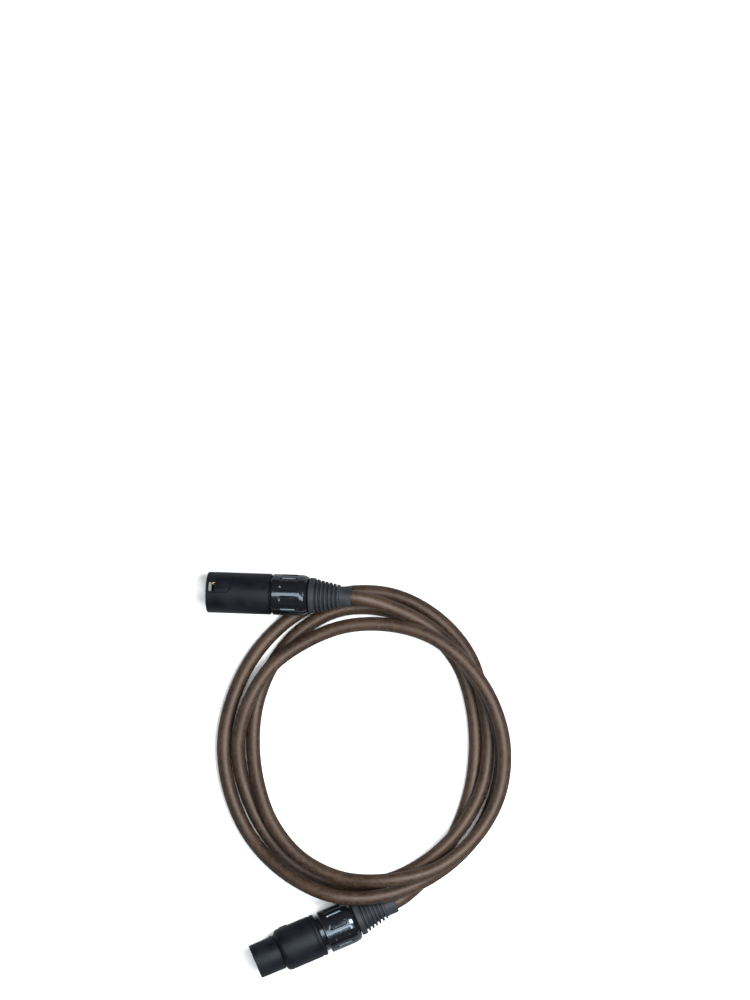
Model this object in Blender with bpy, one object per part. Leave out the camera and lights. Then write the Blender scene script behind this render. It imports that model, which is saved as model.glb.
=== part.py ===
"""A balanced microphone cable with its two XLR plugs, lying in a loose coil.

Every plug piece is modelled along its plug's own axis: +X runs from the mouth
to the end of the boot, and +Z points through the latch. A plug's matrix then
lays the finished piece on the floor, which is z = 0.
"""

import math

import bmesh
import bpy
from mathutils import Matrix, Vector

MM = 0.001

# Cable: a round jacket, laid turn over turn.
CABLE_RADIUS = 3.25 * MM
FLOOR_STRAND = 3.5 * MM
TUBE_POINTS = 104
CABLE_IN_BOOT = 27 * MM
BOOT_GRIP = 9 * MM
EXIT_RUN = 0.5 * MM

# The coil's centre, seen from above. The two plugs' common box is centred on the origin.
COIL_CENTRE = Vector((29.19 * MM, 14.17 * MM, 0))

# Where the cable runs, clockwise from the male plug to the female one. Each station is
# (distance from the coil's centre, height above a strand that lies on the floor), in mm.
FIRST_ANGLE = 80
STATION_STEP = -20
STATIONS = (
    # first turn: off the male plug, down the right, along the bottom, up the left
    (65, 14), (62, 9), (60, 10.5), (60.5, 11.5), (63.5, 9), (65, 6.5), (67, 3.5),
    (68.5, 8.5), (70.5, 14.5), (72, 15.5), (70.5, 8), (68.6, 1), (66.5, 0), (65.6, 0),
    (65, 0), (66, 0), (68, 0), (70.5, 0),
    # second turn: under the male plug, inside the first turn, then up over the rest
    (70.5, 0), (67.5, 1), (63.5, 3), (58.5, 4.5), (57.5, 4.5), (58, 5.5), (59, 7.5),
    (61, 7.5), (64, 4), (66, 0.5), (64.5, 0), (61.5, 0), (59.5, 0), (59, 3.5), (57.5, 6.5),
    (56.5, 7.5), (55, 8.5), (55.5, 11),
    # third turn: on top from the upper left round to the bottom, then down to the floor
    (56.5, 13.5), (58.5, 16.5), (60, 18), (62, 19), (64.5, 16.5), (66.5, 14), (67, 15.5),
    (66.5, 17), (64, 18.5), (63, 13), (60.5, 8), (56.5, 5.5), (53, 3.5), (52, 1.5),
    (53.5, 0), (56.5, 0), (60.5, 0), (63.5, 0),
    # last half turn: along the floor to the female plug
    (63, 0), (60.5, 0), (57, 0), (53, 0), (51.5, 0), (53, 0), (57.5, 0), (65, 0.5),
)

# What the two plugs share, in mm along the plug or from its axis.
SEGMENTS = 40
SHELL_BORE = 8.6
CORE_GAP = 0.3
CONTACT_CIRCLE = 4.75
CONTACT_ANGLES = (60, -60, 180)
CUP_RADIUS = 1.3
CUP_BORE = 0.85
CUP_DEPTH = 3.0
WIRE_RADIUS = 0.5
WIRE_START_CIRCLE = 1.3
BOOT_BORE = 3.8
BOOT_LENGTH = 20.1
RIB_COUNT = 6
RIB_PITCH = 1.9
SLOT_COUNT = 12
SLOT_LENGTH = 8.5
SLOT_WIDTH = 2.4
SLOT_DEPTH = 0.5

# Latch of the female plug, and the window that it drops into on the male plug with the
# U-shaped groove round it: each (start, end, width).
LATCH_PIVOT = (21.0, 0.0, 7.75)
WINDOW = (1.3, 4.2, 4.6)
GROOVE = (0.9, 11.8, 6.0)
GROOVE_LINE = 0.4
SHARP_ANGLE = math.radians(32)


class Plug:
    """One plug's sizes in mm and its place on the floor."""

    def __init__(self, name, mouth, heading, tilt, roll, radius, shell_end, bushing, contacts_end):
        self.name = name
        self.radius = radius
        self.shell_end = shell_end
        self.bushing_start, self.bushing_end = bushing
        self.boot_end = self.bushing_end + BOOT_LENGTH
        self.contacts_end = contacts_end
        place = Matrix.Translation(COIL_CENTRE + Vector(mouth) * MM)
        turn = Matrix.Rotation(math.radians(heading), 4, "Z")
        lift = Matrix.Rotation(math.radians(-tilt), 4, "Y")
        twist = Matrix.Rotation(math.radians(-roll), 4, "X")
        self.matrix = place @ turn @ lift @ twist

    def on_axis(self, x):
        """The point on the plug's axis that lies x mm from its mouth."""
        return self.matrix @ Vector((x * MM, 0, 0))


MALE = Plug("male", (-72.8, 70.7, 9.4), heading=-1.9, tilt=8.8, roll=18, radius=9.5,
            shell_end=29.8, bushing=(30.7, 47.5), contacts_end=21.0)
FEMALE = Plug("female", (-51.0, -101.2, 10.1), heading=23.1, tilt=0, roll=125, radius=10.1,
              shell_end=33.0, bushing=(35.0, 50.7), contacts_end=23.0)


# ---------------------------------------------------------------- building blocks

def clear_scene():
    """Remove whatever the scene starts with."""
    for obj in list(bpy.data.objects):
        bpy.data.objects.remove(obj)


def new_object(name, data, matrix=None):
    """Put data into the scene as an object."""
    obj = bpy.data.objects.new(name, data)
    bpy.context.collection.objects.link(obj)
    if matrix is not None:
        obj.matrix_world = matrix
    return obj


def finish_mesh(name, bm):
    """Turn a closed bmesh in mm into a smooth mesh in metres with sharp edges kept sharp."""
    bmesh.ops.recalc_face_normals(bm, faces=bm.faces)
    bmesh.ops.scale(bm, vec=(MM, MM, MM), verts=bm.verts)
    for face in bm.faces:
        face.smooth = True
    for edge in bm.edges:
        edge.smooth = edge.calc_face_angle(0) < SHARP_ANGLE
    mesh = bpy.data.meshes.new(name)
    bm.to_mesh(mesh)
    bm.free()
    return mesh


def lathe(name, profile, offset=(0.0, 0.0), segments=SEGMENTS):
    """A solid turned about a line along X from a closed loop of (x, radius) points."""
    bm = bmesh.new()
    rings = []
    for x, radius in profile:
        count = segments if radius > 0 else 1
        ring = []
        for i in range(count):
            angle = 2 * math.pi * i / segments
            y = offset[0] + radius * math.sin(angle)
            z = offset[1] + radius * math.cos(angle)
            ring.append(bm.verts.new((x, y, z)))
        rings.append(ring)
    for a, b in zip(rings, rings[1:] + rings[:1]):
        for i in range(segments):
            j = (i + 1) % segments
            corners = [a[i % len(a)], a[j % len(a)], b[j % len(b)], b[i % len(b)]]
            corners = list(dict.fromkeys(corners))
            if len(corners) > 2:
                bm.faces.new(corners)
    return finish_mesh(name, bm)


def prism(name, outline, low, high, to_xyz):
    """A solid with the outline (u, v) swept from low to high; to_xyz maps (u, v, w)."""
    bm = bmesh.new()
    bottom = [bm.verts.new(to_xyz(u, v, low)) for u, v in outline]
    top = [bm.verts.new(to_xyz(u, v, high)) for u, v in outline]
    bm.faces.new(bottom)
    bm.faces.new(top)
    for i in range(len(outline)):
        j = (i + 1) % len(outline)
        bm.faces.new((bottom[i], bottom[j], top[j], top[i]))
    return finish_mesh(name, bm)


def upright(u, v, w):
    """An outline drawn on the shell's top, cut down along Z."""
    return (u, v, w)


def sideways(u, v, w):
    """A side profile drawn along the plug, as wide as w runs."""
    return (u, w, v)


def box_outline(x0, x1, width):
    """A rectangle on the shell's top."""
    return [(x0, -width / 2), (x1, -width / 2), (x1, width / 2), (x0, width / 2)]


def tongue_outline(x0, x1, width, steps=8):
    """A rectangle whose far end is a half circle."""
    radius = width / 2
    outline = [(x0, -radius)]
    for i in range(steps + 1):
        angle = math.pi * (i / steps - 0.5)
        outline.append((x1 - radius + radius * math.cos(angle), radius * math.sin(angle)))
    outline.append((x0, radius))
    return outline


def groove_outline(x0, x1, width, line):
    """A U of the given line width, open at x0."""
    outer = tongue_outline(x0, x1, width)
    inner = tongue_outline(x0, x1 - line, width - 2 * line)
    return outer + inner[::-1]


def stadium_outline(x0, x1, width, steps=6):
    """A slot with two round ends."""
    radius = width / 2
    outline = []
    for centre, start in ((x1 - radius, -0.5), (x0 + radius, 0.5)):
        for i in range(steps + 1):
            angle = math.pi * (start + i / steps)
            outline.append((centre + radius * math.cos(angle), radius * math.sin(angle)))
    return outline


def joined(name, meshes, matrices=None):
    """One mesh made of several separate closed bodies."""
    bm = bmesh.new()
    for i, mesh in enumerate(meshes):
        part = mesh.copy()
        if matrices is not None:
            part.transform(matrices[i])
        bm.from_mesh(part)
    result = bpy.data.meshes.new(name)
    bm.to_mesh(result)
    bm.free()
    return result


def boolean(target, mesh, operation="DIFFERENCE"):
    """Cut a mesh out of the target object, or join it on."""
    tool = new_object(target.name + "_tool", mesh, target.matrix_world)
    tool.hide_render = True
    tool.display_type = "WIRE"
    modifier = target.modifiers.new("boolean", "BOOLEAN")
    modifier.object = tool
    modifier.operation = operation
    modifier.solver = "EXACT"


def cord(name, points, radius, resolution):
    """A round tube with flat ends along points in metres."""
    curve = bpy.data.curves.new(name, "CURVE")
    curve.dimensions = "3D"
    curve.bevel_depth = radius
    curve.bevel_resolution = resolution
    curve.use_fill_caps = True
    spline = curve.splines.new("POLY")
    spline.points.add(len(points) - 1)
    for target, point in zip(spline.points, points):
        target.co = (*point, 1)
    return new_object(name, curve)


def around(angle, radius):
    """(y, z) of a point on a circle about the plug's axis, counted from the latch."""
    return radius * math.sin(math.radians(angle)), radius * math.cos(math.radians(angle))


# ---------------------------------------------------------------- the cable's route

def route_points():
    """The hand laid points of the cable, plug to plug."""
    points = [MALE.on_axis(MALE.boot_end - CABLE_IN_BOOT / MM),
              MALE.on_axis(MALE.boot_end - BOOT_GRIP / MM),
              MALE.on_axis(MALE.boot_end + EXIT_RUN / MM)]
    for i, (radius, lift) in enumerate(STATIONS):
        angle = math.radians(FIRST_ANGLE + STATION_STEP * i)
        x = radius * MM * math.cos(angle)
        y = radius * MM * math.sin(angle)
        points.append(COIL_CENTRE + Vector((x, y, FLOOR_STRAND + lift * MM)))
    points += [FEMALE.on_axis(FEMALE.boot_end + EXIT_RUN / MM),
               FEMALE.on_axis(FEMALE.boot_end - BOOT_GRIP / MM),
               FEMALE.on_axis(FEMALE.boot_end - CABLE_IN_BOOT / MM)]
    return points


def smooth_curve(points, steps):
    """A smooth curve through every point, with the given steps from one to the next."""
    spans = [(b - a).xy.length for a, b in zip(points, points[1:])]
    slopes = [(b - a) / span for a, b, span in zip(points, points[1:], spans)]
    tangents = [slopes[0]]
    for i in range(1, len(points) - 1):
        before, after = spans[i - 1], spans[i]
        tangents.append((slopes[i - 1] * after + slopes[i] * before) / (before + after))
    tangents.append(slopes[-1])
    curve = []
    for i, span in enumerate(spans):
        for k in range(steps):
            t = k / steps
            curve.append(points[i] * (2 * t ** 3 - 3 * t ** 2 + 1)
                         + tangents[i] * span * (t ** 3 - 2 * t ** 2 + t)
                         + points[i + 1] * (3 * t ** 2 - 2 * t ** 3)
                         + tangents[i + 1] * span * (t ** 3 - t ** 2))
    curve.append(points[-1])
    return curve


def evenly_spaced(curve, count):
    """Points at equal distances along a curve."""
    lengths = [0.0]
    for a, b in zip(curve, curve[1:]):
        lengths.append(lengths[-1] + (b - a).length)
    result = []
    i = 0
    for k in range(count):
        target = lengths[-1] * k / (count - 1)
        while i < len(curve) - 2 and lengths[i + 1] < target:
            i += 1
        share = (target - lengths[i]) / (lengths[i + 1] - lengths[i])
        result.append(curve[i].lerp(curve[i + 1], share))
    return result


def build_cable():
    """The jacket: straight inside each boot, laid in turns between the plugs."""
    steps = 24
    route = route_points()
    curve = smooth_curve(route, steps)
    free = curve[2 * steps:-2 * steps]
    points = [route[0]] + evenly_spaced(free, TUBE_POINTS) + [route[-1]]
    cord("cable", points, CABLE_RADIUS, 3)


# ---------------------------------------------------------------- pieces of both plugs

def build_chuck(plug):
    """The collet that the bushing squeezes onto the jacket."""
    j = plug.shell_end
    profile = [(j - 7.8, 8.0), (j - 5.6, 8.0), (j - 5.6, 6.9), (j + 1.7, 6.9), (j + 13.2, 5.0),
               (j + 13.2, 3.6), (j + 6.2, 3.6), (j + 4.2, 5.3), (j - 7.8, 6.2)]
    chuck = new_object(plug.name + "_chuck", lathe("chuck", profile), plug.matrix)
    slit = prism("slit", box_outline(j + 3.0, j + 14.0, 1.2), -8, 8, upright)
    boolean(chuck, slit)


def bushing_profile(plug):
    """Threaded spigot inside the shell, a round body behind it, a seat for the boot."""
    j, start, end, radius = plug.shell_end, plug.bushing_start, plug.bushing_end, plug.radius
    spigot = SHELL_BORE - CORE_GAP
    return [(j - 5.2, 7.3), (j - 5.2, spigot), (start, spigot), (start, radius - 0.4),
            (start + 0.4, radius), (end - 3.4, radius), (end - 1.6, radius - 0.3),
            (end - 0.4, radius - 1.0), (end, radius - 1.9), (end, 6.6), (end - 4.1, 6.6),
            (end - 4.1, 5.4), (j + 1.7, 7.3)]


def build_bushing(plug):
    """The back nut, with finger slots all round it."""
    bushing = new_object(plug.name + "_bushing", lathe("bushing", bushing_profile(plug)),
                         plug.matrix)
    middle = (plug.bushing_start + plug.bushing_end) / 2 - 0.5
    outline = stadium_outline(middle - SLOT_LENGTH / 2, middle + SLOT_LENGTH / 2, SLOT_WIDTH)
    slot = prism("slot", outline, plug.radius - SLOT_DEPTH, plug.radius + 1, upright)
    turns = [Matrix.Rotation(2 * math.pi * i / SLOT_COUNT, 4, "X") for i in range(SLOT_COUNT)]
    boolean(bushing, joined("slots", [slot] * SLOT_COUNT, turns))


def boot_profile(plug):
    """A spigot in the bushing, a collar, tapering ribs and a plain sleeve."""
    end = plug.bushing_end
    collar = end + CORE_GAP
    ribs = end + 3.1
    sleeve = ribs + RIB_PITCH * RIB_COUNT
    profile = [(end - 3.7, BOOT_BORE), (end - 3.7, 6.3), (collar, 6.3), (collar, 8.0),
               (collar + 0.3, 8.3), (ribs - 0.3, 8.2), (ribs, 7.9)]
    for i in range(RIB_COUNT):
        x = ribs + RIB_PITCH * i
        crest = 7.8 - 0.42 * i
        profile += [(x + 0.1, crest - 1.3), (x + 0.7, crest - 1.35),
                    (x + 0.9, crest - 0.1), (x + 1.7, crest - 0.2)]
    profile += [(sleeve + 0.1, 4.7), (plug.boot_end - 0.5, 4.65), (plug.boot_end, 4.4),
                (plug.boot_end, BOOT_BORE)]
    return profile


def build_boot(plug):
    """The rubber bend protector that turns with the bushing."""
    new_object(plug.name + "_boot", lathe("boot", boot_profile(plug), segments=32), plug.matrix)


def build_wires(plug):
    """Three conductors, from the jacket's end to the solder cups."""
    jacket_end = plug.boot_end - CABLE_IN_BOOT / MM
    for i, angle in enumerate(CONTACT_ANGLES, start=1):
        stops = ((jacket_end - 0.4, WIRE_START_CIRCLE), (jacket_end - 4, WIRE_START_CIRCLE),
                 (jacket_end - 10, 3.2), (plug.contacts_end + 3, CONTACT_CIRCLE),
                 (plug.contacts_end - CUP_DEPTH + 0.5, CONTACT_CIRCLE))
        points = [plug.matrix @ (Vector((x, *around(angle, circle))) * MM) for x, circle in stops]
        bend = smooth_curve(points[1:4], 5)
        cord(f"{plug.name}_wire_{i}", [points[0]] + bend + [points[4]], WIRE_RADIUS * MM, 2)


def cup_profile(tip, end):
    """Profile of a round contact from its tip to its hollow solder cup."""
    return tip + [(end, CUP_RADIUS), (end, CUP_BORE), (end - CUP_DEPTH, CUP_BORE),
                  (end - CUP_DEPTH, 0)]


# ---------------------------------------------------------------- male plug

def build_male_shell():
    """A tube with the latch window near its rim and a thin groove round the window."""
    j, radius = MALE.shell_end, MALE.radius
    profile = [(0, 8.3), (0, 9.2), (0.3, radius), (j - 0.4, radius), (j, radius - 0.4),
               (j, SHELL_BORE), (j - 8.2, SHELL_BORE), (j - 8.2, 8.3)]
    shell = new_object("male_shell", lathe("shell", profile), MALE.matrix)
    groove = groove_outline(*GROOVE, GROOVE_LINE)
    boolean(shell, prism("groove", groove, radius - 0.75, radius + 1, upright))
    boolean(shell, prism("window", box_outline(*WINDOW), 7, radius + 1, upright))


def build_male_insert():
    """The insulator that carries the pins."""
    profile = [(11.9, 0), (11.9, 7.8), (12.1, 8.0), (17.5, 8.0), (17.5, 0)]
    insert = new_object("male_insert", lathe("insert", profile), MALE.matrix)
    hole = lathe("hole", [(11, 0), (11, 1.6), (18.5, 1.6), (18.5, 0)], segments=20)
    boolean(insert, joined("holes", [hole] * 3, contact_places()))


def contact_places():
    """Matrices that move a piece from the plug's axis to each contact's own axis."""
    places = []
    for angle in CONTACT_ANGLES:
        y, z = around(angle, CONTACT_CIRCLE)
        places.append(Matrix.Translation((0, y * MM, z * MM)))
    return places


def build_male_pins():
    """Three round pins with rounded tips."""
    tip = [(1.5, 0), (1.5, 0.5), (1.8, 0.9), (2.4, 1.2), (17.9, 1.2), (18.2, CUP_RADIUS)]
    profile = cup_profile(tip, MALE.contacts_end)
    for i, angle in enumerate(CONTACT_ANGLES, start=1):
        mesh = lathe("pin", profile, around(angle, CONTACT_CIRCLE), segments=20)
        new_object(f"male_pin_{i}", mesh, MALE.matrix)


# ---------------------------------------------------------------- female plug

def build_female_shell():
    """A slim nose, a shoulder and a wider body with a channel for the latch."""
    j, radius = FEMALE.shell_end, FEMALE.radius
    profile = [(0, 7.5), (0, 7.8), (0.3, 8.1), (12.0, 8.15), (12.2, 7.9), (12.7, 7.9),
               (12.9, 8.9), (13.3, 9.5), (14.3, 10.0), (15.0, radius), (j - 2.6, radius),
               (j - 2.4, radius - 0.3), (j - 2.0, radius - 0.3), (j - 1.8, radius),
               (j - 0.5, radius), (j, radius - 0.6), (j, SHELL_BORE), (13.6, SHELL_BORE),
               (12.9, 7.5)]
    shell = new_object("female_shell", lathe("shell", profile), FEMALE.matrix)
    slots = [prism("hook_slot", box_outline(8.7, 13.2, 4.8), 6, 12, upright),
             prism("button_slot", box_outline(12.95, 20.7, 7.6), 6, 12, upright)]
    boolean(shell, slots[0])
    boolean(shell, slots[1])


def build_female_insert():
    """The insulator inside the nose, with a pocket below the latch."""
    profile = [(0.5, 0), (0.5, 7.0), (0.7, 7.2), (20.0, 7.2), (20.0, 0)]
    insert = new_object("female_insert", lathe("insert", profile), FEMALE.matrix)
    hole = lathe("hole", [(-1, 0), (-1, 1.5), (2.0, 1.5), (2.0, 2.2), (21, 2.2), (21, 0)],
                 segments=20)
    pocket = prism("pocket", box_outline(8.4, 21.0, 5.0), 5.9, 9, upright)
    well = prism("well", stadium_outline(15.1, 17.9, 2.7), 2.6, 7, upright)
    boolean(insert, joined("holes", [hole] * 3, contact_places()))
    boolean(insert, pocket)
    boolean(insert, well)


def build_female_contacts():
    """Three socket contacts set back behind the holes of the insert."""
    tip = [(14, 0), (14, 1.25), (2.3, 1.25), (2.3, 1.9), (19.2, 1.9), (19.5, CUP_RADIUS)]
    profile = cup_profile(tip, FEMALE.contacts_end)
    for i, angle in enumerate(CONTACT_ANGLES, start=1):
        mesh = lathe("contact", profile, around(angle, CONTACT_CIRCLE), segments=20)
        new_object(f"female_contact_{i}", mesh, FEMALE.matrix)


def build_latch():
    """The lever that holds a mated plug: a hook, a push button and a round pivot."""
    px, _, pz = LATCH_PIVOT
    lever = [(9.3, 7.5), (20.6, 7.45), (21.1, 7.4), (21.5, 7.75), (21.1, 8.1), (14.0, 8.1),
             (14.0, 9.1), (11.5, 8.3), (11.3, 8.8), (10.9, 8.9), (9.3, 8.1)]
    button = [(13.3, 7.8), (20.2, 7.8), (20.2, 9.9), (19.8, 10.3), (16.6, 10.3), (13.3, 8.9)]
    hinge = FEMALE.matrix @ Matrix.Translation(Vector(LATCH_PIVOT) * MM)
    lever = [(x - px, z - pz) for x, z in lever]
    button = [(x - px, z - pz) for x, z in button]
    latch = new_object("female_latch", prism("lever", lever, -2.0, 2.0, sideways), hinge)
    boolean(latch, prism("button", button, -3.5, 3.5, sideways), "UNION")


def build_latch_spring():
    """The small coil spring that stands in the insert and lifts the latch."""
    turns, per_turn, radius = 4, 10, 0.85
    low, high = 2.95, 7.1
    points = []
    for i in range(turns * per_turn + 1):
        angle = 2 * math.pi * i / per_turn
        height = low + (high - low) * i / (turns * per_turn)
        local = Vector((16.5 + radius * math.cos(angle), radius * math.sin(angle), height))
        points.append(FEMALE.matrix @ (local * MM))
    cord("female_latch_spring", points, 0.2 * MM, 1)


# ---------------------------------------------------------------- assembly

def build_male_plug():
    """Every piece of the male plug."""
    build_male_shell()
    build_male_insert()
    build_male_pins()
    build_chuck(MALE)
    build_bushing(MALE)
    build_boot(MALE)
    build_wires(MALE)


def build_female_plug():
    """Every piece of the female plug."""
    build_female_shell()
    build_female_insert()
    build_female_contacts()
    build_latch()
    build_latch_spring()
    build_chuck(FEMALE)
    build_bushing(FEMALE)
    build_boot(FEMALE)
    build_wires(FEMALE)


clear_scene()
build_male_plug()
build_female_plug()
build_cable()
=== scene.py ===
"""The looks of the coiled microphone cable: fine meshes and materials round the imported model."""

import math

import bmesh
import bpy
from mathutils import Matrix, Vector


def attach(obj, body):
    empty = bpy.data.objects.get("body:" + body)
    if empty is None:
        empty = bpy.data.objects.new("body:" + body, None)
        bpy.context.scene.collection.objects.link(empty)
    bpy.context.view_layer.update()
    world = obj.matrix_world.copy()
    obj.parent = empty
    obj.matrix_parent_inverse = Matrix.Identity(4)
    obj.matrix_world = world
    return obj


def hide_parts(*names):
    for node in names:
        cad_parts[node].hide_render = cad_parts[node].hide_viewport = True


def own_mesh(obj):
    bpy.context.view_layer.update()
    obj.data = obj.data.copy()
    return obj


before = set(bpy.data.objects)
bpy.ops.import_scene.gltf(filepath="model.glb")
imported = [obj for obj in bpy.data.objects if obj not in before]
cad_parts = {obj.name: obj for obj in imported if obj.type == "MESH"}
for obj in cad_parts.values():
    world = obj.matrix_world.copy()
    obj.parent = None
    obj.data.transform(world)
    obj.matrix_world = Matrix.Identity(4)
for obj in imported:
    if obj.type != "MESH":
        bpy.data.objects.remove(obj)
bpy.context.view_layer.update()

MM = 0.001

# ---------------------------------------------------------------- sizes shared with the CAD part

CABLE_RADIUS = 0.00325
FLOOR_STRAND = 0.0035
CABLE_IN_BOOT = 0.027
BOOT_GRIP = 0.009
EXIT_RUN = 0.0005
COIL_CENTRE = Vector((0.02919, 0.01417, 0))
FIRST_ANGLE = 80
STATION_STEP = -20

# (distance from the coil's centre, height above a strand that lies on the floor), in metres.
STATIONS = (
    # first turn: off the male plug, down the right, along the bottom, up the left
    (0.065, 0.014), (0.062, 0.009), (0.060, 0.0105), (0.0605, 0.0115), (0.0635, 0.009),
    (0.065, 0.0065), (0.067, 0.0035), (0.0685, 0.0085), (0.0705, 0.0145), (0.072, 0.0155),
    (0.0705, 0.008), (0.0686, 0.001), (0.0665, 0), (0.0656, 0), (0.065, 0), (0.066, 0),
    (0.068, 0), (0.0705, 0),
    # second turn: under the male plug, inside the first turn, then up over the rest
    (0.0705, 0), (0.0675, 0.001), (0.0635, 0.003), (0.0585, 0.0045), (0.0575, 0.0045),
    (0.058, 0.0055), (0.059, 0.0075), (0.061, 0.0075), (0.064, 0.004), (0.066, 0.0005),
    (0.0645, 0), (0.0615, 0), (0.0595, 0), (0.059, 0.0035), (0.0575, 0.0065),
    (0.0565, 0.0075), (0.055, 0.0085), (0.0555, 0.011),
    # third turn: on top from the upper left round to the bottom, then down to the floor
    (0.0565, 0.0135), (0.0585, 0.0165), (0.060, 0.018), (0.062, 0.019), (0.0645, 0.0165),
    (0.0665, 0.014), (0.067, 0.0155), (0.0665, 0.017), (0.064, 0.0185), (0.063, 0.013),
    (0.0605, 0.008), (0.0565, 0.0055), (0.053, 0.0035), (0.052, 0.0015), (0.0535, 0),
    (0.0565, 0), (0.0605, 0), (0.0635, 0),
    # last half turn: along the floor to the female plug
    (0.063, 0), (0.0605, 0), (0.057, 0), (0.053, 0), (0.0515, 0), (0.053, 0), (0.0575, 0),
    (0.065, 0.0005),
)

# Sizes in mm along a plug from its mouth, or from its axis.
SHELL_BORE = 8.6
CORE_GAP = 0.3
BOOT_BORE = 3.8
BOOT_LENGTH = 20.1
RIB_COUNT = 6
RIB_PITCH = 1.9
FIRST_RIB = 7.8
RIB_TAPER = 0.42
SLOT_COUNT = 12
SLOT_LENGTH = 8.5
SLOT_WIDTH = 2.4
SLOT_DEPTH = 0.5
SLOT_SHIFT = 0.5
SLOT_EDGE_START = 0.1
SLOT_EDGE_WIDTH = 0.45
EDGE_RADIUS = 0.15
BOOT_EDGE_RADIUS = 0.2

# Openings in the shells, each with its start, end and width in mm. The groove is a thin line
# below the full radius. The cutters' lower and upper ends are heights above the plug's axis.
WINDOW = (1.3, 4.2, 4.6)
WINDOW_LOW = 7
GROOVE = (0.9, 11.8, 6.0)
GROOVE_LINE = 0.4
GROOVE_DEPTH = 0.75
HOOK_SLOT = (8.7, 13.2, 4.8)
BUTTON_SLOT = (12.95, 20.7, 7.6)
LATCH_SLOT_LOW = 6
MALE_CUTTER_TOP = 11
FEMALE_CUTTER_TOP = 12

# The latch spring: how far along the plug it stands, its foot's and head's heights and its coil's
# radius in mm, and its wire's radius in metres.
SPRING_PLACE = (16.5, 2.95, 7.1)
SPRING_RADIUS = 0.85
SPRING_WIRE = 0.0002
SPRING_TURNS = 4
SPRING_STEPS = 96

# The camera looks straight down from so far away that lines of sight are nearly parallel.
CAMERA_OFFSET = Vector((0.00465, 0.1135, 12.0))
CAMERA_LENS = 928.8
CAMERA_SENSOR = 36

# How far the floor reaches each way in metres, the strength of the room's light at the horizon
# and overhead, and the point that the lamps are aimed at.
FLOOR_REACH = 3
HORIZON_STRENGTH = 0.08
OVERHEAD_STRENGTH = 0.30
LAMP_TARGET = Vector((0.03, 0, 0))

# How finely the visible pieces are made.
SEGMENTS = 112
BUSHING_SEGMENTS = 288
SHARP_ANGLE = math.radians(35)
CURVE_STEPS = 14
JACKET_RESOLUTION = 9
SPRING_RESOLUTION = 3
CLEAR_CORNER = math.radians(20)
CORNER_REACH = 0.4
NOISE_ROUGHNESS = 0.55

# In mm: how close together the rings on a bushing's outer run are, so that its slots come out
# smooth, the length and the nearness to the full radius that tell this run from the others, and
# how near to the full radius a point has to be for the slots to press it in.
RING_SPACING = 0.18
LONG_RUN = 3
RUN_MARGIN = 0.05
PRESS_MARGIN = 0.02


class Plug:
    """One plug's sizes in mm and its place on the floor."""

    def __init__(self, name, mouth, heading, tilt, roll, radius, shell_end, bushing):
        self.name = name
        self.radius = radius
        self.shell_end = shell_end
        self.bushing_start, self.bushing_end = bushing
        self.boot_end = self.bushing_end + BOOT_LENGTH
        move = Matrix.Translation(COIL_CENTRE + Vector(mouth))
        turn = Matrix.Rotation(math.radians(heading), 4, "Z")
        lift = Matrix.Rotation(math.radians(-tilt), 4, "Y")
        twist = Matrix.Rotation(math.radians(-roll), 4, "X")
        self.matrix = move @ turn @ lift @ twist

    def on_axis(self, x):
        """The point on the plug's axis that lies x mm from its mouth."""
        return self.matrix @ Vector((x * MM, 0, 0))

    @property
    def axis(self):
        """The direction from the mouth to the boot."""
        return self.matrix.to_3x3() @ Vector((1, 0, 0))


MALE = Plug("male", (-0.0728, 0.0707, 0.0094), heading=-1.9, tilt=8.8, roll=18, radius=9.5,
            shell_end=29.8, bushing=(30.7, 47.5))
FEMALE = Plug("female", (-0.051, -0.1012, 0.0101), heading=23.1, tilt=0, roll=125, radius=10.1,
              shell_end=33.0, bushing=(35.0, 50.7))


# ---------------------------------------------------------------- node helpers

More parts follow.
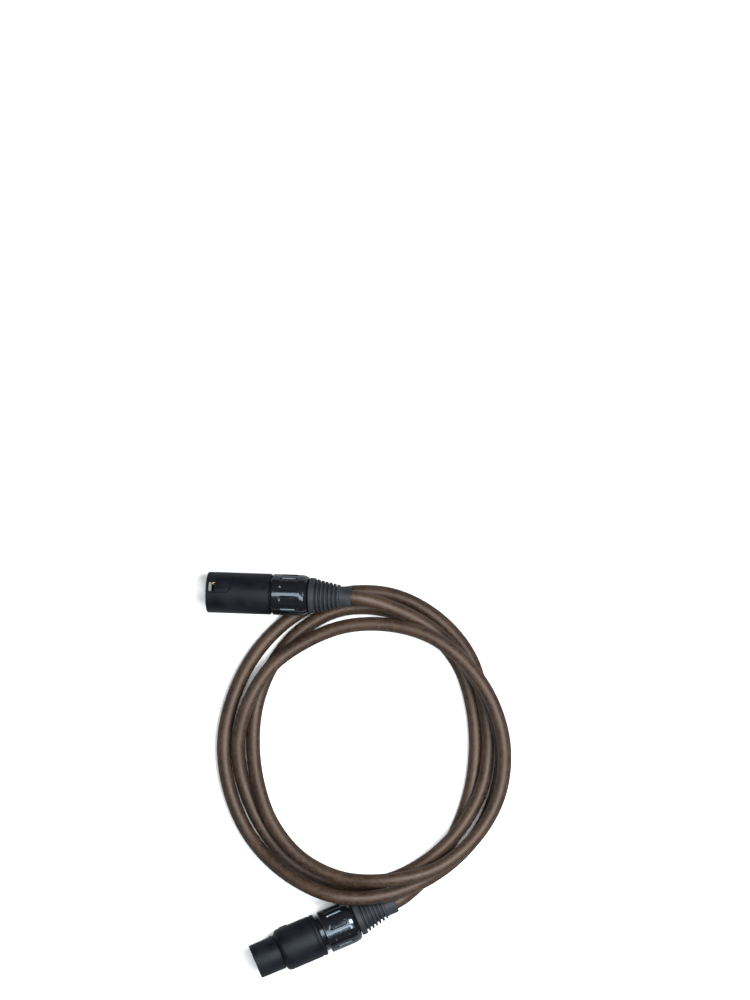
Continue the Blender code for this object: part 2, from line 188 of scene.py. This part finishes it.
class Nodes:
    """A material's node tree, with short calls for what every finish here needs."""

    def __init__(self, name):
        self.material = bpy.data.materials.new(name)
        self.material.use_nodes = True
        self.tree = self.material.node_tree
        self.shader = self.tree.nodes["Principled BSDF"]
        coordinates = self.tree.nodes.new("ShaderNodeTexCoord")
        self.position = coordinates.outputs["Object"]

    def link(self, source, target):
        """Connect two sockets."""
        self.tree.links.new(source, target)

    def set(self, **values):
        """Constants on the shader's own sockets; underscores stand for spaces."""
        for key, value in values.items():
            self.shader.inputs[key.replace("_", " ")].default_value = value

    def noise(self, scale, detail):
        """A noise texture's factor, scale in cycles per metre."""
        node = self.tree.nodes.new("ShaderNodeTexNoise")
        node.inputs["Scale"].default_value = scale
        node.inputs["Detail"].default_value = detail
        node.inputs["Roughness"].default_value = NOISE_ROUGHNESS
        self.link(self.position, node.inputs["Vector"])
        return node.outputs["Fac"]

    def remap(self, value, low, high, to_low, to_high):
        """Value between low and high, spread over to_low and to_high."""
        node = self.tree.nodes.new("ShaderNodeMapRange")
        node.inputs["From Min"].default_value = low
        node.inputs["From Max"].default_value = high
        node.inputs["To Min"].default_value = to_low
        node.inputs["To Max"].default_value = to_high
        self.link(value, node.inputs["Value"])
        return node.outputs["Result"]

    def math(self, operation, a, b):
        """A math node on two sockets or numbers."""
        node = self.tree.nodes.new("ShaderNodeMath")
        node.operation = operation
        for socket, value in zip(node.inputs, (a, b)):
            if isinstance(value, (int, float)):
                socket.default_value = value
            else:
                self.link(value, socket)
        return node.outputs["Value"]

    def mix(self, factor, a, b):
        """A colour mixed from two colours or sockets."""
        node = self.tree.nodes.new("ShaderNodeMix")
        node.data_type = "RGBA"
        self.link(factor, node.inputs["Factor"])
        for name, value in (("A", a), ("B", b)):
            socket = next(s for s in node.inputs if s.name == name and s.type == "RGBA")
            if isinstance(value, tuple):
                socket.default_value = (*value, 1)
            else:
                self.link(value, socket)
        return next(s for s in node.outputs if s.type == "RGBA")

    def along(self, plug):
        """Distance along a plug from its mouth, in mm."""
        shift = self.tree.nodes.new("ShaderNodeVectorMath")
        shift.operation = "SUBTRACT"
        shift.inputs[1].default_value = plug.on_axis(0)
        self.link(self.position, shift.inputs[0])
        dot = self.tree.nodes.new("ShaderNodeVectorMath")
        dot.operation = "DOT_PRODUCT"
        dot.inputs[1].default_value = plug.axis / MM
        self.link(shift.outputs["Vector"], dot.inputs[0])
        return dot.outputs["Value"]

    def bump(self, height, distance, strength):
        """Surface relief; distance is the relief's depth in metres."""
        node = self.tree.nodes.new("ShaderNodeBump")
        node.inputs["Strength"].default_value = strength
        node.inputs["Distance"].default_value = distance
        self.link(height, node.inputs["Height"])
        self.link(node.outputs["Normal"], self.shader.inputs["Normal"])


def jacket_material():
    """Satin brown PVC, finely mottled, with a few pale specks of dust."""
    n = Nodes("jacket_pvc")
    n.set(Specular_IOR_Level=0.40, Specular_Tint=(1.0, 0.85, 0.77, 1))
    mottle = n.noise(620, detail=5)
    broad = n.noise(45, detail=2)
    tone = n.math("ADD", n.math("MULTIPLY", mottle, 0.6), n.math("MULTIPLY", broad, 0.4))
    brown = n.mix(n.remap(tone, 0.40, 0.60, 0, 1),
                  (0.012, 0.0066, 0.0038), (0.036, 0.0198, 0.0115))
    specks = n.remap(n.noise(1300, detail=1), 0.80, 0.83, 0, 0.5)
    n.link(n.mix(specks, brown, (0.30, 0.25, 0.22)), n.shader.inputs["Base Color"])
    n.link(n.remap(mottle, 0.3, 0.7, 0.42, 0.6), n.shader.inputs["Roughness"])
    n.bump(n.noise(1400, detail=5), 0.00016, 0.9)
    return n.material


def shell_material(plug):
    """Charcoal powder coat on metal, rubbed bright along the front rim."""
    n = Nodes(plug.name + "_shell_coat")
    n.set(Specular_IOR_Level=0.13, Specular_Tint=(0.85, 0.92, 1.0, 1))
    grain = n.noise(5200, detail=2)
    broad = n.noise(160, detail=4)
    black = n.mix(n.remap(broad, 0.35, 0.65, 0, 1),
                  (0.0022, 0.0026, 0.0036), (0.0052, 0.0062, 0.0086))
    rim = n.remap(n.along(plug), 0.02, 0.32, 1, 0)
    rubbed = n.math("MULTIPLY", rim, n.remap(n.noise(420, detail=5), 0.42, 0.62, 0, 0.75))
    n.link(n.mix(rubbed, black, (0.30, 0.29, 0.28)), n.shader.inputs["Base Color"])
    n.link(n.remap(broad, 0.3, 0.7, 0.42, 0.56), n.shader.inputs["Roughness"])
    n.bump(grain, 0.00003, 0.45)
    return n.material


def latch_material():
    """A dark coat like the shells', with a broad variation in tone."""
    n = Nodes("latch_coat")
    n.set(Specular_IOR_Level=0.25)
    broad = n.noise(300, detail=4)
    black = n.mix(n.remap(broad, 0.35, 0.7, 0, 1), (0.007, 0.008, 0.010), (0.020, 0.021, 0.023))
    n.link(black, n.shader.inputs["Base Color"])
    n.link(n.remap(broad, 0.3, 0.7, 0.38, 0.5), n.shader.inputs["Roughness"])
    n.bump(n.noise(5200, detail=2), 0.00003, 0.4)
    return n.material


def bushing_material():
    """Glossy black moulded plastic with faint rubbing."""
    n = Nodes("bushing_gloss")
    n.set(Specular_IOR_Level=0.55, Specular_Tint=(0.74, 0.87, 1.0, 1))
    broad = n.noise(240, detail=3)
    n.link(n.mix(broad, (0.002, 0.002, 0.003), (0.005, 0.005, 0.006)),
           n.shader.inputs["Base Color"])
    n.link(n.remap(n.noise(900, detail=5), 0.35, 0.75, 0.09, 0.24), n.shader.inputs["Roughness"])
    n.bump(n.noise(330, detail=2), 0.00004, 0.25)
    return n.material


def boot_material():
    """Matte dark rubber, faintly dusty."""
    n = Nodes("boot_rubber")
    n.set(Specular_IOR_Level=0.2)
    broad = n.noise(210, detail=4)
    n.link(n.mix(n.remap(broad, 0.3, 0.7, 0, 1), (0.010, 0.012, 0.015), (0.020, 0.023, 0.027)),
           n.shader.inputs["Base Color"])
    n.link(n.remap(broad, 0.3, 0.7, 0.52, 0.68), n.shader.inputs["Roughness"])
    n.bump(n.noise(3600, detail=3), 0.00004, 0.5)
    return n.material


def plastic_material(name, dark, light):
    """Plain moulded plastic with slight flow marks."""
    n = Nodes(name)
    broad = n.noise(350, detail=3)
    n.link(n.mix(n.remap(broad, 0.3, 0.7, 0, 1), dark, light), n.shader.inputs["Base Color"])
    n.link(n.remap(broad, 0.3, 0.7, 0.38, 0.5), n.shader.inputs["Roughness"])
    n.bump(n.noise(3000, detail=2), 0.00002, 0.4)
    return n.material


def metal_material(name, dark, light):
    """Plated or drawn metal with fine marks."""
    n = Nodes(name)
    n.set(Metallic=1.0)
    marks = n.noise(1400, detail=4)
    n.link(n.mix(n.remap(marks, 0.3, 0.7, 0, 1), dark, light), n.shader.inputs["Base Color"])
    n.link(n.remap(marks, 0.3, 0.7, 0.16, 0.32), n.shader.inputs["Roughness"])
    n.bump(marks, 0.00001, 0.3)
    return n.material


# ---------------------------------------------------------------- mesh helpers

def keep_sharp(bm):
    """Smooth every face, but keep the edges that turn by more than SHARP_ANGLE crisp."""
    for face in bm.faces:
        face.smooth = True
    for edge in bm.edges:
        edge.smooth = edge.calc_face_angle(0) < SHARP_ANGLE


def finished_object(name, bm, material, matrix):
    """Turn a closed bmesh in metres into a smooth object with its sharp edges kept."""
    bmesh.ops.recalc_face_normals(bm, faces=bm.faces)
    keep_sharp(bm)
    mesh = bpy.data.meshes.new(name)
    bm.to_mesh(mesh)
    bm.free()
    mesh.transform(matrix)
    mesh.materials.append(material)
    obj = bpy.data.objects.new(name, mesh)
    bpy.context.collection.objects.link(obj)
    return obj


def rounded(profile, radius, steps=3):
    """A closed loop of (x, r) points with each clear corner turned into a small arc."""
    result = []
    count = len(profile)
    for i, point in enumerate(profile):
        here = Vector(point)
        before = Vector(profile[i - 1]) - here
        after = Vector(profile[(i + 1) % count]) - here
        bend = math.pi - before.angle(after)
        if bend < CLEAR_CORNER:
            result.append(point)
            continue
        room = CORNER_REACH * min(before.length, after.length)
        reach = min(radius * math.tan(bend / 2), room)
        start = here + before.normalized() * reach
        end = here + after.normalized() * reach
        for k in range(steps + 1):
            t = k / steps
            spot = start * (1 - t) ** 2 + here * (2 * t * (1 - t)) + end * t ** 2
            result.append((spot.x, spot.y))
    return result


def turned(profile, segments=SEGMENTS):
    """A bmesh in metres, turned about X from a closed loop of (x, radius) points in mm."""
    bm = bmesh.new()
    rings = []
    for x, radius in profile:
        ring = []
        for i in range(segments):
            angle = 2 * math.pi * i / segments
            spot = Vector((x, radius * math.sin(angle), radius * math.cos(angle)))
            ring.append(bm.verts.new(spot * MM))
        rings.append(ring)
    for a, b in zip(rings, rings[1:] + rings[:1]):
        for i in range(segments):
            j = (i + 1) % segments
            bm.faces.new((a[i], a[j], b[j], b[i]))
    return bm


def prism(name, outline, low, high):
    """A cutter with the outline (x, y) in mm, from low to high along Z."""
    bm = bmesh.new()
    bottom = [bm.verts.new(Vector((x, y, low)) * MM) for x, y in outline]
    top = [bm.verts.new(Vector((x, y, high)) * MM) for x, y in outline]
    bm.faces.new(bottom)
    bm.faces.new(top)
    for i in range(len(outline)):
        j = (i + 1) % len(outline)
        bm.faces.new((bottom[i], bottom[j], top[j], top[i]))
    bmesh.ops.recalc_face_normals(bm, faces=bm.faces)
    mesh = bpy.data.meshes.new(name)
    bm.to_mesh(mesh)
    bm.free()
    return mesh


def box_outline(x0, x1, width):
    """A rectangle on a shell's top."""
    return [(x0, -width / 2), (x1, -width / 2), (x1, width / 2), (x0, width / 2)]


def tongue_outline(x0, x1, width, steps=16):
    """A rectangle whose far end is a half circle."""
    radius = width / 2
    outline = [(x0, -radius)]
    for i in range(steps + 1):
        angle = math.pi * (i / steps - 0.5)
        outline.append((x1 - radius + radius * math.cos(angle), radius * math.sin(angle)))
    outline.append((x0, radius))
    return outline


def groove_outline(x0, x1, width, line):
    """A U of the given line width, open at x0."""
    outer = tongue_outline(x0, x1, width)
    inner = tongue_outline(x0, x1 - line, width - 2 * line)
    return outer + inner[::-1]


def cut(obj, mesh, matrix):
    """Cut a mesh out of obj for good."""
    tool = bpy.data.objects.new("tool", mesh)
    tool.matrix_world = matrix
    bpy.context.collection.objects.link(tool)
    modifier = obj.modifiers.new("cut", "BOOLEAN")
    modifier.object = tool
    modifier.operation = "DIFFERENCE"
    modifier.solver = "EXACT"
    bpy.context.view_layer.update()
    graph = bpy.context.evaluated_depsgraph_get()
    result = bpy.data.meshes.new_from_object(obj.evaluated_get(graph))
    obj.modifiers.clear()
    bm = bmesh.new()
    bm.from_mesh(result)
    keep_sharp(bm)
    bm.to_mesh(result)
    bm.free()
    obj.data = result
    bpy.data.objects.remove(tool)


# ---------------------------------------------------------------- cable

def route_points():
    """The points that the cable runs through, plug to plug."""
    points = [MALE.on_axis(MALE.boot_end - CABLE_IN_BOOT / MM),
              MALE.on_axis(MALE.boot_end - BOOT_GRIP / MM),
              MALE.on_axis(MALE.boot_end + EXIT_RUN / MM)]
    for i, (radius, lift) in enumerate(STATIONS):
        angle = math.radians(FIRST_ANGLE + STATION_STEP * i)
        spot = Vector((radius * math.cos(angle), radius * math.sin(angle), FLOOR_STRAND + lift))
        points.append(COIL_CENTRE + spot)
    points += [FEMALE.on_axis(FEMALE.boot_end + EXIT_RUN / MM),
               FEMALE.on_axis(FEMALE.boot_end - BOOT_GRIP / MM),
               FEMALE.on_axis(FEMALE.boot_end - CABLE_IN_BOOT / MM)]
    return points


def smooth_curve(points, steps):
    """A smooth curve through every point, with the given steps from one to the next."""
    spans = [(b - a).xy.length for a, b in zip(points, points[1:])]
    slopes = [(b - a) / span for a, b, span in zip(points, points[1:], spans)]
    tangents = [slopes[0]]
    for i in range(1, len(points) - 1):
        before, after = spans[i - 1], spans[i]
        tangents.append((slopes[i - 1] * after + slopes[i] * before) / (before + after))
    tangents.append(slopes[-1])
    curve = []
    for i, span in enumerate(spans):
        for k in range(steps):
            t = k / steps
            curve.append(points[i] * (2 * t ** 3 - 3 * t ** 2 + 1)
                         + tangents[i] * span * (t ** 3 - 2 * t ** 2 + t)
                         + points[i + 1] * (3 * t ** 2 - 2 * t ** 3)
                         + tangents[i + 1] * span * (t ** 3 - t ** 2))
    curve.append(points[-1])
    return curve


def round_curve(name, points, radius, resolution, material):
    """A round curve object along a run of points."""
    data = bpy.data.curves.new(name, "CURVE")
    data.dimensions = "3D"
    data.bevel_depth = radius
    data.bevel_resolution = resolution
    data.use_fill_caps = True
    spline = data.splines.new("POLY")
    spline.points.add(len(points) - 1)
    for target, point in zip(spline.points, points):
        target.co = (*point, 1)
    spline.use_smooth = True
    data.materials.append(material)
    obj = bpy.data.objects.new(name, data)
    bpy.context.collection.objects.link(obj)
    return obj


def build_cable(material):
    """The jacket, one smooth round curve from plug to plug."""
    points = smooth_curve(route_points(), CURVE_STEPS)
    jacket = round_curve("cable_jacket", points, CABLE_RADIUS, JACKET_RESOLUTION, material)
    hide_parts("cable")
    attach(jacket, "lead")


# ---------------------------------------------------------------- plug pieces

def place(obj, node, body):
    """Stand obj for a CAD node on its body."""
    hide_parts(node)
    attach(obj, body)


def male_shell_profile():
    """The male shell's outline with its rear edge eased."""
    j, radius = MALE.shell_end, MALE.radius
    return rounded([(0, 8.3), (0, 9.25), (0.3, radius), (j - 0.4, radius), (j, radius - 0.4),
                    (j, SHELL_BORE), (j - 8.2, SHELL_BORE), (j - 8.2, 8.3)], EDGE_RADIUS)


def female_shell_profile():
    """The slim nose, the groove, the shoulder and the wider body."""
    j, radius = FEMALE.shell_end, FEMALE.radius
    return rounded([(0, 7.5), (0, 7.85), (0.25, 8.1), (12.0, 8.15), (12.2, 7.9), (12.7, 7.9),
                    (12.9, 8.9), (13.3, 9.5), (14.3, 10.0), (15.0, radius), (j - 2.6, radius),
                    (j - 2.4, radius - 0.3), (j - 2.0, radius - 0.3), (j - 1.8, radius),
                    (j - 0.5, radius), (j, radius - 0.6), (j, SHELL_BORE), (13.6, SHELL_BORE),
                    (12.9, 7.5)], EDGE_RADIUS)


def build_male_shell():
    """The male shell with its latch window and the thin groove round it."""
    shell = finished_object("male_shell_fine", turned(male_shell_profile()),
                            shell_material(MALE), MALE.matrix)
    groove = prism("groove", groove_outline(*GROOVE, GROOVE_LINE), MALE.radius - GROOVE_DEPTH,
                   MALE_CUTTER_TOP)
    window = prism("window", box_outline(*WINDOW), WINDOW_LOW, MALE_CUTTER_TOP)
    cut(shell, groove, MALE.matrix)
    cut(shell, window, MALE.matrix)
    place(shell, "male_shell", "lead")


def build_female_shell():
    """The female shell with the slots for its latch's hook and thumb pad."""
    shell = finished_object("female_shell_fine", turned(female_shell_profile()),
                            shell_material(FEMALE), FEMALE.matrix)
    for name, outline in (("hook_slot", HOOK_SLOT), ("button_slot", BUTTON_SLOT)):
        cutter = prism(name, box_outline(*outline), LATCH_SLOT_LOW, FEMALE_CUTTER_TOP)
        cut(shell, cutter, FEMALE.matrix)
    place(shell, "female_shell", "lead")


def slot_depth(x, y, middle):
    """How far the bushing's surface is pressed in at x along it and y from a slot's line."""
    half = (SLOT_LENGTH - SLOT_WIDTH) / 2
    dx = max(abs(x - middle) - half, 0)
    inside = SLOT_WIDTH / 2 - math.hypot(dx, y)
    t = min(max((inside + SLOT_EDGE_START) / SLOT_EDGE_WIDTH, 0), 1)
    return SLOT_DEPTH * t * t * (3 - 2 * t)


def bushing_profile(plug):
    """The bushing's outline, with rings close together where the slots are."""
    j, start, end, radius = plug.shell_end, plug.bushing_start, plug.bushing_end, plug.radius
    spigot = SHELL_BORE - CORE_GAP
    front = rounded([(end - 4.1, 5.4), (j + 1.7, 7.3), (j - 5.2, 7.3), (j - 5.2, spigot),
                     (start, spigot), (start, radius - 0.4), (start + 0.4, radius),
                     (end - 3.4, radius), (end - 1.6, radius - 0.3), (end - 0.4, radius - 1.0),
                     (end, radius - 1.9), (end, 6.6), (end - 4.1, 6.6)], EDGE_RADIUS)
    profile = []
    for a, b in zip(front, front[1:] + front[:1]):
        profile.append(a)
        if min(a[1], b[1]) > radius - RUN_MARGIN and b[0] - a[0] > LONG_RUN:
            count = int((b[0] - a[0]) / RING_SPACING)
            profile += [(a[0] + (b[0] - a[0]) * k / count, radius) for k in range(1, count)]
    return profile


def build_bushing(plug, material):
    """The back nut with soft edged finger slots all round."""
    bm = turned(bushing_profile(plug), BUSHING_SEGMENTS)
    middle = (plug.bushing_start + plug.bushing_end) / 2 - SLOT_SHIFT
    for vert in bm.verts:
        x, y, z = vert.co / MM
        radius = math.hypot(y, z)
        if radius < plug.radius - PRESS_MARGIN:
            continue
        step = 2 * math.pi / SLOT_COUNT
        turn = math.atan2(y, z)
        off = (turn + step / 2) % step - step / 2
        scale = 1 - slot_depth(x, off * radius, middle) / radius
        vert.co.y *= scale
        vert.co.z *= scale
    bushing = finished_object(plug.name + "_bushing_fine", bm, material, plug.matrix)
    place(bushing, plug.name + "_bushing", plug.name + "_nut")


def boot_profile(plug):
    """A spigot in the bushing, a collar, tapering ribs and a plain sleeve."""
    end = plug.bushing_end
    collar = end + CORE_GAP
    ribs = end + 3.1
    sleeve = ribs + RIB_PITCH * RIB_COUNT
    profile = [(end - 3.7, BOOT_BORE), (end - 3.7, 6.3), (collar, 6.3), (collar, 8.0),
               (collar + 0.3, 8.3), (ribs - 0.3, 8.2), (ribs, 7.9)]
    for i in range(RIB_COUNT):
        x = ribs + RIB_PITCH * i
        crest = FIRST_RIB - RIB_TAPER * i
        profile += [(x + 0.1, crest - 1.3), (x + 0.7, crest - 1.35),
                    (x + 0.9, crest - 0.1), (x + 1.7, crest - 0.2)]
    profile += [(sleeve + 0.1, 4.7), (plug.boot_end - 0.5, 4.65), (plug.boot_end, 4.4),
                (plug.boot_end, BOOT_BORE)]
    return rounded(profile, BOOT_EDGE_RADIUS)


def build_boot(plug, material):
    """The ribbed bend protector."""
    boot = finished_object(plug.name + "_boot_fine", turned(boot_profile(plug)), material,
                           plug.matrix)
    place(boot, plug.name + "_boot", plug.name + "_nut")


def build_latch_spring(material):
    """The coil spring under the latch, made at one fixed height."""
    x, low, high = SPRING_PLACE
    points = []
    for i in range(SPRING_STEPS + 1):
        angle = 2 * math.pi * SPRING_TURNS * i / SPRING_STEPS
        spot = Vector((x + SPRING_RADIUS * math.cos(angle), SPRING_RADIUS * math.sin(angle),
                       low + (high - low) * i / SPRING_STEPS))
        points.append(FEMALE.matrix @ (spot * MM))
    wire = round_curve("latch_spring_line", points, SPRING_WIRE, SPRING_RESOLUTION, material)
    bpy.context.view_layer.update()
    graph = bpy.context.evaluated_depsgraph_get()
    mesh = bpy.data.meshes.new_from_object(wire.evaluated_get(graph))
    bpy.data.objects.remove(wire)
    spring = bpy.data.objects.new("latch_spring_fine", mesh)
    bpy.context.collection.objects.link(spring)
    place(spring, "female_latch_spring", "lead")
    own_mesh(spring)


def dress(node, material):
    """Give a CAD node its finish."""
    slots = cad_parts[node].data.materials
    if not slots:
        slots.append(material)
    for i in range(len(slots)):
        slots[i] = material


def dress_inner_pieces():
    """Finishes of the pieces inside the plugs."""
    insert = plastic_material("insulator", (0.012, 0.012, 0.013), (0.024, 0.024, 0.026))
    gold = metal_material("gold_plate", (0.72, 0.50, 0.20), (0.95, 0.74, 0.38))
    copper = metal_material("copper_strand", (0.55, 0.25, 0.14), (0.85, 0.48, 0.32))
    grey = plastic_material("chuck_plastic", (0.26, 0.26, 0.27), (0.36, 0.36, 0.37))
    red = plastic_material("red_insulation", (0.34, 0.012, 0.010), (0.45, 0.020, 0.016))
    white = plastic_material("white_insulation", (0.62, 0.61, 0.57), (0.75, 0.74, 0.70))
    finishes = {"insert": insert, "chuck": grey, "wire_1": copper, "wire_2": red,
                "wire_3": white}
    for plug in (MALE, FEMALE):
        for part, material in finishes.items():
            dress(f"{plug.name}_{part}", material)
    for i in (1, 2, 3):
        dress(f"male_pin_{i}", gold)
        dress(f"female_contact_{i}", gold)
    dress("female_latch", latch_material())


# ---------------------------------------------------------------- floor, light and camera

def build_floor():
    """A plain pale floor, far wider than the view, that the cable reflects as a darker grey."""
    bm = bmesh.new()
    bmesh.ops.create_grid(bm, x_segments=1, y_segments=1, size=FLOOR_REACH)
    mesh = bpy.data.meshes.new("floor")
    bm.to_mesh(mesh)
    bm.free()
    n = Nodes("floor_paper")
    n.set(Roughness=0.9, Specular_IOR_Level=0.1)
    paper = n.mix(n.noise(3, detail=2), (0.90, 0.90, 0.90), (0.92, 0.92, 0.92))
    seen = n.tree.nodes.new("ShaderNodeLightPath").outputs["Is Camera Ray"]
    n.link(n.mix(seen, (0.30, 0.30, 0.31), paper), n.shader.inputs["Base Color"])
    mesh.materials.append(n.material)
    floor = bpy.data.objects.new("floor", mesh)
    bpy.context.collection.objects.link(floor)


def area_light(name, spot, size, power, colour=(1, 1, 1)):
    """A soft rectangular lamp at spot, aimed at the cable."""
    data = bpy.data.lights.new(name, "AREA")
    data.shape = "RECTANGLE"
    data.size, data.size_y = size
    data.energy = power
    data.color = colour
    lamp = bpy.data.objects.new(name, data)
    lamp.location = spot
    lamp.visible_camera = False
    lamp.rotation_euler = (LAMP_TARGET - Vector(spot)).to_track_quat("-Z", "Y").to_euler()
    bpy.context.collection.objects.link(lamp)


def build_light():
    """Soft studio light: a dim room, a lamp on the right, a long strip and a window, both cool."""
    world = bpy.data.worlds.new("room")
    world.use_nodes = True
    tree = world.node_tree
    direction = tree.nodes.new("ShaderNodeTexCoord").outputs["Generated"]
    axes = tree.nodes.new("ShaderNodeSeparateXYZ")
    height = tree.nodes.new("ShaderNodeMapRange")
    height.inputs["From Min"].default_value = 0.0
    height.inputs["From Max"].default_value = 1.0
    height.inputs["To Min"].default_value = HORIZON_STRENGTH
    height.inputs["To Max"].default_value = OVERHEAD_STRENGTH
    tree.links.new(direction, axes.inputs["Vector"])
    tree.links.new(axes.outputs["Z"], height.inputs["Value"])
    tree.links.new(height.outputs["Result"], tree.nodes["Background"].inputs["Strength"])
    tree.nodes["Background"].inputs["Color"].default_value = (1.0, 1.0, 1.0, 1)
    bpy.context.scene.world = world
    area_light("key", spot=(0.45, 0.12, 1.2), size=(0.45, 0.45), power=27)
    area_light("strip", spot=(-0.15, -0.15, 1.3), size=(1.1, 0.35), power=11,
               colour=(0.93, 0.97, 1.0))
    area_light("window", spot=(0.35, -0.45, 1.0), size=(0.25, 0.4), power=7,
               colour=(0.86, 0.93, 1.0))


def build_camera():
    """Straight above, framed as the photograph."""
    data = bpy.data.cameras.new("camera")
    data.sensor_fit = "VERTICAL"
    data.sensor_height = CAMERA_SENSOR
    data.lens = CAMERA_LENS
    camera = bpy.data.objects.new("camera", data)
    camera.location = COIL_CENTRE + CAMERA_OFFSET
    bpy.context.collection.objects.link(camera)
    bpy.context.scene.camera = camera


# ---------------------------------------------------------------- assembly

build_camera()
build_floor()
build_light()
build_cable(jacket_material())
build_male_shell()
build_female_shell()
gloss = bushing_material()
rubber = boot_material()
for plug in (MALE, FEMALE):
    build_bushing(plug, gloss)
    build_boot(plug, rubber)
build_latch_spring(metal_material("spring_wire", (0.55, 0.55, 0.56), (0.78, 0.78, 0.80)))
dress_inner_pieces()
bpy.context.scene.view_settings.view_transform = "Standard"
